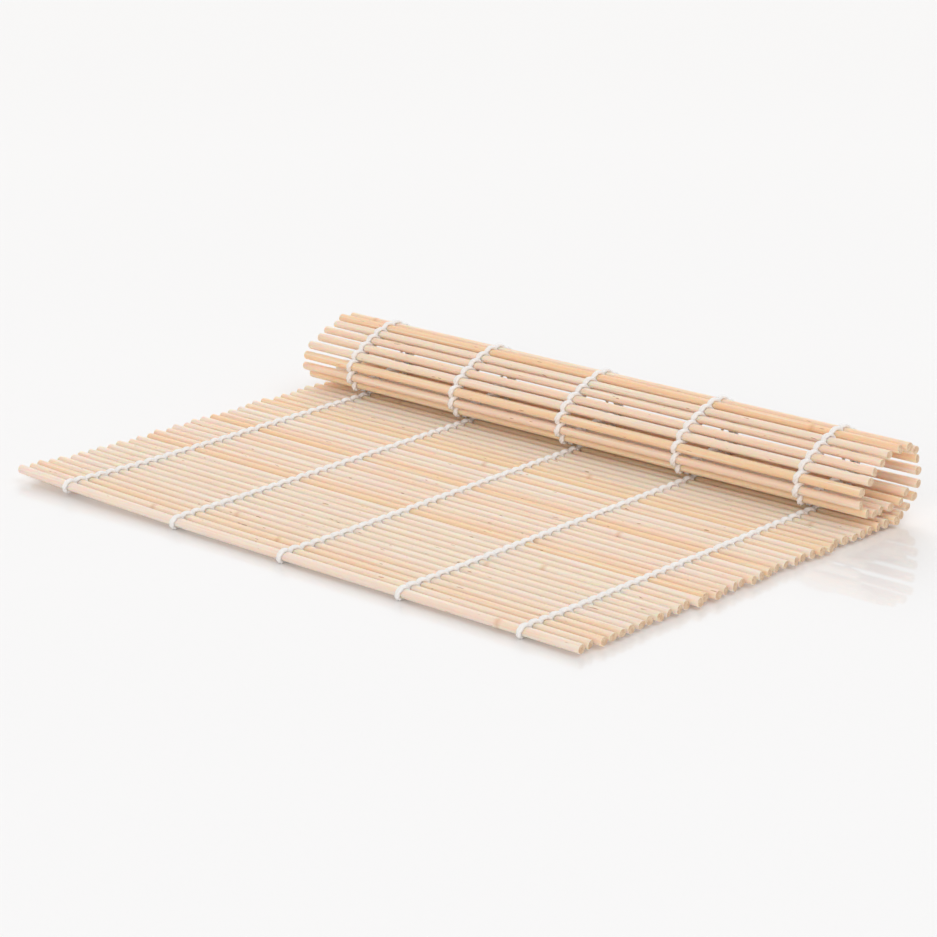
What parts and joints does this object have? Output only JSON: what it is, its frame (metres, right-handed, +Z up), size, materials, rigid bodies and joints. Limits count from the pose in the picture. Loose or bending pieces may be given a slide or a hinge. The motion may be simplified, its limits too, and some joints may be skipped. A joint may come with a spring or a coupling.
{
  "type": "sushi rolling mat",
  "caption": "Bamboo sushi rolling mat: round sticks bound side by side with twined cotton cords, lying flat with the far end curled over into a loose roll.",
  "frame": {"origin": "on the table, halfway along the sticks, and halfway from the front stick to the rearmost stick of the roll", "axes": "+X along the sticks, +Y from the front edge to the rolled end, +Z up"},
  "size_m": [0.24, 0.1643, 0.0274],
  "materials": {
    "bamboo": "split and planed bamboo, bare, satin skin with fine lengthwise grain",
    "cotton_cord": "soft twined cotton string, matt and slightly fuzzy"
  },
  "bodies": {
    "flat_middle": {"sticks_17_to_20": "bamboo", "sticks_21_to_24": "bamboo", "sticks_25_to_28": "bamboo", "sticks_29_to_32": "bamboo", "sticks_33_to_35": "bamboo", "cord_1_front": "cotton_cord", "cord_1_field": "cotton_cord", "cord_1_roll": "cotton_cord", "cord_2_front": "cotton_cord", "cord_2_field": "cotton_cord", "cord_2_roll": "cotton_cord", "cord_3_front": "cotton_cord", "cord_3_field": "cotton_cord", "cord_3_roll": "cotton_cord", "cord_4_front": "cotton_cord", "cord_4_field": "cotton_cord", "cord_4_roll": "cotton_cord", "cord_5_front": "cotton_cord", "cord_5_field": "cotton_cord", "cord_5_roll": "cotton_cord"},
    "stick_01": {"stick_01": "bamboo"},
    "stick_02": {"stick_02": "bamboo"},
    "stick_03": {"stick_03": "bamboo"},
    "stick_04": {"stick_04": "bamboo"},
    "stick_05": {"stick_05": "bamboo"},
    "stick_06": {"stick_06": "bamboo"},
    "stick_07": {"stick_07": "bamboo"},
    "stick_08": {"stick_08": "bamboo"},
    "stick_09": {"stick_09": "bamboo"},
    "stick_10": {"stick_10": "bamboo"},
    "stick_11": {"stick_11": "bamboo"},
    "stick_12": {"stick_12": "bamboo"},
    "stick_13": {"stick_13": "bamboo"},
    "stick_14": {"stick_14": "bamboo"},
    "stick_15": {"stick_15": "bamboo"},
    "stick_16": {"stick_16": "bamboo"},
    "stick_36": {"stick_36": "bamboo"},
    "stick_37": {"stick_37": "bamboo"},
    "stick_38": {"stick_38": "bamboo"},
    "stick_39": {"stick_39": "bamboo"},
    "stick_40": {"stick_40": "bamboo"},
    "stick_41": {"stick_41": "bamboo"},
    "stick_42": {"stick_42": "bamboo"},
    "stick_43": {"stick_43": "bamboo"},
    "stick_44": {"stick_44": "bamboo"},
    "stick_45": {"stick_45": "bamboo"},
    "stick_46": {"stick_46": "bamboo"},
    "stick_47": {"stick_47": "bamboo"},
    "stick_48": {"stick_48": "bamboo"},
    "stick_49": {"stick_49": "bamboo"},
    "stick_50": {"stick_50": "bamboo"},
    "stick_51": {"stick_51": "bamboo"},
    "stick_52": {"stick_52": "bamboo"},
    "stick_53": {"stick_53": "bamboo"},
    "stick_54": {"stick_54": "bamboo"},
    "stick_55": {"stick_55": "bamboo"},
    "stick_56": {"stick_56": "bamboo"},
    "stick_57": {"stick_57": "bamboo", "knots": "cotton_cord"}
  },
  "joints": [
    {"name": "front_edge_roll", "type": "hinge", "parent": "flat_middle", "child": "stick_16", "pos_m": [0, -0.01447, 0.00228], "axis": [-1, 0, 0], "range_deg": [0, 19], "deforming": ["cord_1_front", "cord_2_front", "cord_3_front", "cord_4_front", "cord_5_front"]},
    {"name": "gap_15_16", "type": "hinge", "parent": "stick_16", "child": "stick_15", "pos_m": [0, -0.01867, 0.00228], "axis": [-1, 0, 0], "range_deg": [0, 19.01]},
    {"name": "gap_14_15", "type": "hinge", "parent": "stick_15", "child": "stick_14", "pos_m": [0, -0.02287, 0.00228], "axis": [-1, 0, 0], "range_deg": [0, 19.01]},
    {"name": "gap_13_14", "type": "hinge", "parent": "stick_14", "child": "stick_13", "pos_m": [0, -0.02707, 0.00228], "axis": [-1, 0, 0], "range_deg": [0, 19.01]},
    {"name": "gap_12_13", "type": "hinge", "parent": "stick_13", "child": "stick_12", "pos_m": [0, -0.03127, 0.00228], "axis": [-1, 0, 0], "range_deg": [0, 19.01]},
    {"name": "gap_11_12", "type": "hinge", "parent": "stick_12", "child": "stick_11", "pos_m": [0, -0.03547, 0.00228], "axis": [-1, 0, 0], "range_deg": [0, 19.01]},
    {"name": "gap_10_11", "type": "hinge", "parent": "stick_11", "child": "stick_10", "pos_m": [0, -0.03967, 0.00228], "axis": [-1, 0, 0], "range_deg": [0, 19.01]},
    {"name": "gap_09_10", "type": "hinge", "parent": "stick_10", "child": "stick_09", "pos_m": [0, -0.04387, 0.00228], "axis": [-1, 0, 0], "range_deg": [0, 19.01]},
    {"name": "gap_08_09", "type": "hinge", "parent": "stick_09", "child": "stick_08", "pos_m": [0, -0.04807, 0.00228], "axis": [-1, 0, 0], "range_deg": [0, 19.01]},
    {"name": "gap_07_08", "type": "hinge", "parent": "stick_08", "child": "stick_07", "pos_m": [0, -0.05227, 0.00228], "axis": [-1, 0, 0], "range_deg": [0, 19.01]},
    {"name": "gap_06_07", "type": "hinge", "parent": "stick_07", "child": "stick_06", "pos_m": [0, -0.05647, 0.00228], "axis": [-1, 0, 0], "range_deg": [0, 19.01]},
    {"name": "gap_05_06", "type": "hinge", "parent": "stick_06", "child": "stick_05", "pos_m": [0, -0.06067, 0.00228], "axis": [-1, 0, 0], "range_deg": [0, 19.01]},
    {"name": "gap_04_05", "type": "hinge", "parent": "stick_05", "child": "stick_04", "pos_m": [0, -0.06487, 0.00228], "axis": [-1, 0, 0], "range_deg": [0, 19.01]},
    {"name": "gap_03_04", "type": "hinge", "parent": "stick_04", "child": "stick_03", "pos_m": [0, -0.06907, 0.00228], "axis": [-1, 0, 0], "range_deg": [0, 19.01]},
    {"name": "gap_02_03", "type": "hinge", "parent": "stick_03", "child": "stick_02", "pos_m": [0, -0.07327, 0.00228], "axis": [-1, 0, 0], "range_deg": [0, 19.01]},
    {"name": "gap_01_02", "type": "hinge", "parent": "stick_02", "child": "stick_01", "pos_m": [0, -0.07747, 0.00228], "axis": [-1, 0, 0], "range_deg": [0, 19.01]},
    {"name": "gap_35_36", "type": "hinge", "parent": "flat_middle", "child": "stick_36", "pos_m": [0, 0.06534, 0.00228], "axis": [-1, 0, 0], "range_deg": [0, 3.01]},
    {"name": "gap_36_37", "type": "hinge", "parent": "stick_36", "child": "stick_37", "pos_m": [0, 0.06953, 0.00249], "axis": [-1, 0, 0], "range_deg": [0, 9.01]},
    {"name": "gap_37_38", "type": "hinge", "parent": "stick_37", "child": "stick_38", "pos_m": [0, 0.07364, 0.00337], "axis": [-1, 0, 0], "range_deg": [0, 19.01]},
    {"name": "gap_38_39", "type": "hinge", "parent": "stick_38", "child": "stick_39", "pos_m": [0, 0.07724, 0.00553], "axis": [-1, 0, 0], "range_deg": [0, 30.01]},
    {"name": "gap_39_40", "type": "hinge", "parent": "stick_39", "child": "stick_40", "pos_m": [0, 0.07928, 0.0092], "axis": [-1, 0, 0], "range_deg": [0, 23.01]},
    {"name": "gap_40_41", "type": "hinge", "parent": "stick_40", "child": "stick_41", "pos_m": [0, 0.07972, 0.01338], "axis": [-1, 0, 0], "range_deg": [0, 10.01]},
    {"name": "gap_41_42", "type": "hinge", "parent": "stick_41", "child": "stick_42", "pos_m": [0, 0.07942, 0.01757], "axis": [-1, 0, 0], "range_deg": [0, 14.01]},
    {"name": "rear_unroll", "type": "hinge", "parent": "stick_42", "child": "stick_43", "pos_m": [0, 0.07813, 0.02157], "axis": [-1, 0, 0], "range_deg": [0, 29], "deforming": ["cord_1_roll", "cord_2_roll", "cord_3_roll", "cord_4_roll", "cord_5_roll"]},
    {"name": "gap_43_44", "type": "hinge", "parent": "stick_43", "child": "stick_44", "pos_m": [0, 0.07505, 0.02443], "axis": [-1, 0, 0], "range_deg": [0, 31.01]},
    {"name": "gap_44_45", "type": "hinge", "parent": "stick_44", "child": "stick_45", "pos_m": [0, 0.07094, 0.0253], "axis": [-1, 0, 0], "range_deg": [0, 22.01]},
    {"name": "gap_45_46", "type": "hinge", "parent": "stick_45", "child": "stick_46", "pos_m": [0, 0.06681, 0.02458], "axis": [-1, 0, 0], "range_deg": [0, 11.01]},
    {"name": "gap_46_47", "type": "hinge", "parent": "stick_46", "child": "stick_47", "pos_m": [0, 0.06289, 0.02307], "axis": [-1, 0, 0], "range_deg": [0, 5.01]},
    {"name": "gap_47_48", "type": "hinge", "parent": "stick_47", "child": "stick_48", "pos_m": [0, 0.05911, 0.02123], "axis": [-1, 0, 0], "range_deg": [0, 2.01]},
    {"name": "gap_48_49", "type": "hinge", "parent": "stick_48", "child": "stick_49", "pos_m": [0, 0.0554, 0.01926], "axis": [-1, 0, 0], "range_deg": [0, 7.01]},
    {"name": "gap_49_50", "type": "hinge", "parent": "stick_49", "child": "stick_50", "pos_m": [0, 0.05196, 0.01685], "axis": [-1, 0, 0], "range_deg": [0, 26.01]},
    {"name": "gap_50_51", "type": "hinge", "parent": "stick_50", "child": "stick_51", "pos_m": [0, 0.04993, 0.01317], "axis": [-1, 0, 0], "range_deg": [0, 45.01]},
    {"name": "gap_51_52", "type": "hinge", "parent": "stick_51", "child": "stick_52", "pos_m": [0, 0.05108, 0.00914], "axis": [-1, 0, 0], "range_deg": [0, 45.01]},
    {"name": "gap_52_53", "type": "hinge", "parent": "stick_52", "child": "stick_53", "pos_m": [0, 0.05476, 0.0071], "axis": [-1, 0, 0], "range_deg": [0, 27.01]},
    {"name": "gap_53_54", "type": "hinge", "parent": "stick_53", "child": "stick_54", "pos_m": [0, 0.05896, 0.00695], "axis": [-1, 0, 0], "range_deg": [0, 4.01]},
    {"name": "gap_54_55", "type": "hinge", "parent": "stick_54", "child": "stick_55", "pos_m": [0, 0.06315, 0.0071], "axis": [-1, 0, 0], "range_deg": [0, 1.01]},
    {"name": "gap_55_56", "type": "hinge", "parent": "stick_55", "child": "stick_56", "pos_m": [0, 0.06735, 0.00732], "axis": [-1, 0, 0], "range_deg": [0, 16.01]},
    {"name": "gap_56_57", "type": "hinge", "parent": "stick_56", "child": "stick_57", "pos_m": [0, 0.07132, 0.00869], "axis": [-1, 0, 0], "range_deg": [0, 36.01]}
  ],
  "couplings": [
    {"joint": "gap_15_16", "follows": "front_edge_roll", "ratio": 1},
    {"joint": "gap_14_15", "follows": "front_edge_roll", "ratio": 1},
    {"joint": "gap_13_14", "follows": "front_edge_roll", "ratio": 1},
    {"joint": "gap_12_13", "follows": "front_edge_roll", "ratio": 1},
    {"joint": "gap_11_12", "follows": "front_edge_roll", "ratio": 1},
    {"joint": "gap_10_11", "follows": "front_edge_roll", "ratio": 1},
    {"joint": "gap_09_10", "follows": "front_edge_roll", "ratio": 1},
    {"joint": "gap_08_09", "follows": "front_edge_roll", "ratio": 1},
    {"joint": "gap_07_08", "follows": "front_edge_roll", "ratio": 1},
    {"joint": "gap_06_07", "follows": "front_edge_roll", "ratio": 1},
    {"joint": "gap_05_06", "follows": "front_edge_roll", "ratio": 1},
    {"joint": "gap_04_05", "follows": "front_edge_roll", "ratio": 1},
    {"joint": "gap_03_04", "follows": "front_edge_roll", "ratio": 1},
    {"joint": "gap_02_03", "follows": "front_edge_roll", "ratio": 1},
    {"joint": "gap_01_02", "follows": "front_edge_roll", "ratio": 1},
    {"joint": "gap_35_36", "follows": "rear_unroll", "ratio": 0.10345},
    {"joint": "gap_36_37", "follows": "rear_unroll", "ratio": 0.31034},
    {"joint": "gap_37_38", "follows": "rear_unroll", "ratio": 0.65517},
    {"joint": "gap_38_39", "follows": "rear_unroll", "ratio": 1.0345},
    {"joint": "gap_39_40", "follows": "rear_unroll", "ratio": 0.7931},
    {"joint": "gap_40_41", "follows": "rear_unroll", "ratio": 0.34483},
    {"joint": "gap_41_42", "follows": "rear_unroll", "ratio": 0.48276},
    {"joint": "gap_43_44", "follows": "rear_unroll", "ratio": 1.069},
    {"joint": "gap_44_45", "follows": "rear_unroll", "ratio": 0.75862},
    {"joint": "gap_45_46", "follows": "rear_unroll", "ratio": 0.37931},
    {"joint": "gap_46_47", "follows": "rear_unroll", "ratio": 0.17241},
    {"joint": "gap_47_48", "follows": "rear_unroll", "ratio": 0.068966},
    {"joint": "gap_48_49", "follows": "rear_unroll", "ratio": 0.24138},
    {"joint": "gap_49_50", "follows": "rear_unroll", "ratio": 0.89655},
    {"joint": "gap_50_51", "follows": "rear_unroll", "ratio": 1.5517},
    {"joint": "gap_51_52", "follows": "rear_unroll", "ratio": 1.5517},
    {"joint": "gap_52_53", "follows": "rear_unroll", "ratio": 0.93103},
    {"joint": "gap_53_54", "follows": "rear_unroll", "ratio": 0.13793},
    {"joint": "gap_54_55", "follows": "rear_unroll", "ratio": 0.034483},
    {"joint": "gap_55_56", "follows": "rear_unroll", "ratio": 0.55172},
    {"joint": "gap_56_57", "follows": "rear_unroll", "ratio": 1.2414}
  ]
}
